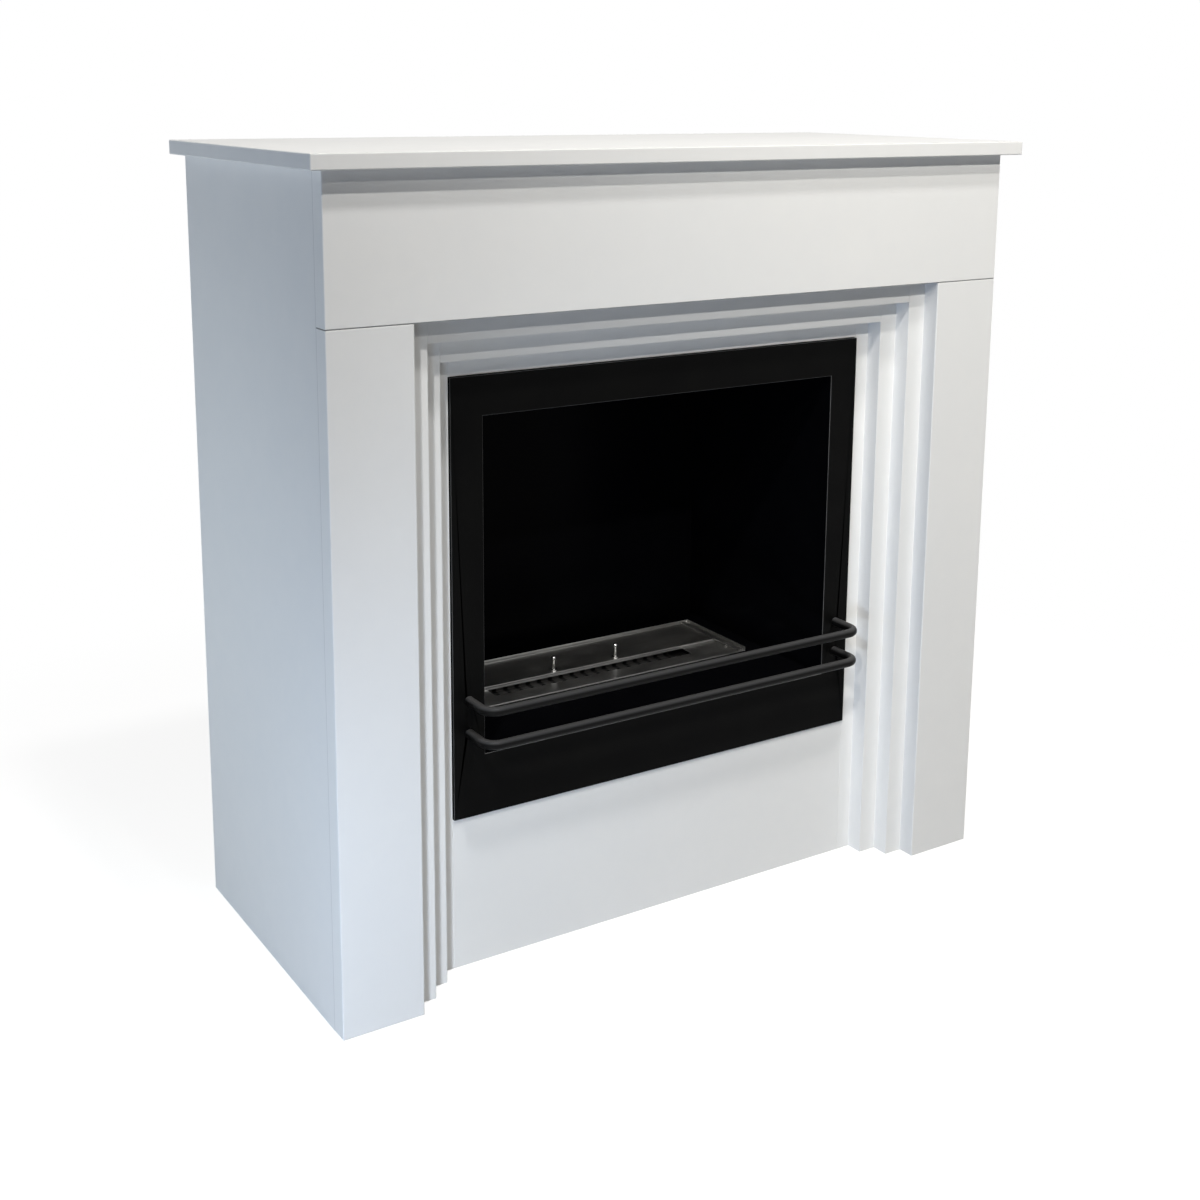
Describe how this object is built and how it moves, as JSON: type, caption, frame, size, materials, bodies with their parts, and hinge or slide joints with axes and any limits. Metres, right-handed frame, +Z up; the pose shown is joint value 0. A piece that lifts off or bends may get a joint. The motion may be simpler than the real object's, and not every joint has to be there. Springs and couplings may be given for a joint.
{
  "type": "bioethanol fireplace",
  "caption": "Floor-standing bioethanol fireplace: white stepped surround with shelf, black steel firebox, guard bars and a slot burner with a sliding snuffer lid.",
  "frame": {"origin": "on the floor, under the middle of the shelf", "axes": "+X to the right as seen from the front, +Y to the back, towards the wall, +Z up"},
  "size_m": [1.04, 0.46, 1.03],
  "materials": {
    "white_lacquer": "satin white lacquer on fibreboard",
    "raw_board": "bare fibreboard",
    "black_steel": "satin black powder coat",
    "burner_steel": "brushed stainless steel",
    "zinc": "zinc plated",
    "wool": "fibrous ceramic wool"
  },
  "bodies": {
    "surround": {"mantel_shelf": "white_lacquer", "left_side_panel": "white_lacquer", "right_side_panel": "white_lacquer", "frieze_board": "white_lacquer", "left_pilaster": "white_lacquer", "right_pilaster": "white_lacquer", "outer_top_rail": "white_lacquer", "outer_left_stile": "white_lacquer", "outer_right_stile": "white_lacquer", "inner_top_rail": "white_lacquer", "inner_left_stile": "white_lacquer", "inner_right_stile": "white_lacquer", "top_infill_strip": "white_lacquer", "left_infill_strip": "white_lacquer", "right_infill_strip": "white_lacquer", "lower_panel": "white_lacquer", "carrier_shelf": "raw_board", "left_carrier_cleat": "raw_board", "right_carrier_cleat": "raw_board", "left_shelf_cleat": "raw_board", "right_shelf_cleat": "raw_board", "shelf_screws": "zinc", "top_back_rail": "raw_board", "bottom_back_rail": "raw_board", "rail_brackets": "zinc", "rail_screws": "zinc", "insert_frame": "black_steel", "firebox_left_wall": "black_steel", "firebox_right_wall": "black_steel", "firebox_back_wall": "black_steel", "firebox_roof": "black_steel", "firebox_base": "black_steel", "firebox_floor": "black_steel", "firebox_rivets": "zinc", "insert_brackets": "zinc", "bracket_screws": "zinc", "upper_guard_bar": "black_steel", "lower_guard_bar": "black_steel", "guard_bar_bolts": "zinc"},
    "burner": {"burner_tank": "burner_steel", "burner_top_plate": "burner_steel", "perforated_strip": "burner_steel", "wick_wool": "wool", "lid_guide_left": "burner_steel", "lid_guide_right": "burner_steel"},
    "lid": {"snuffer_lid": "burner_steel", "lid_knobs": "burner_steel"}
  },
  "joints": [
    {"name": "burner_lift", "type": "slide", "parent": "surround", "child": "burner", "axis": [0, 0, 1], "range_m": [0, 0.08]},
    {"name": "lid_slide", "type": "slide", "parent": "burner", "child": "lid", "axis": [0, -1, 0], "range_m": [0, 0.028]}
  ]
}
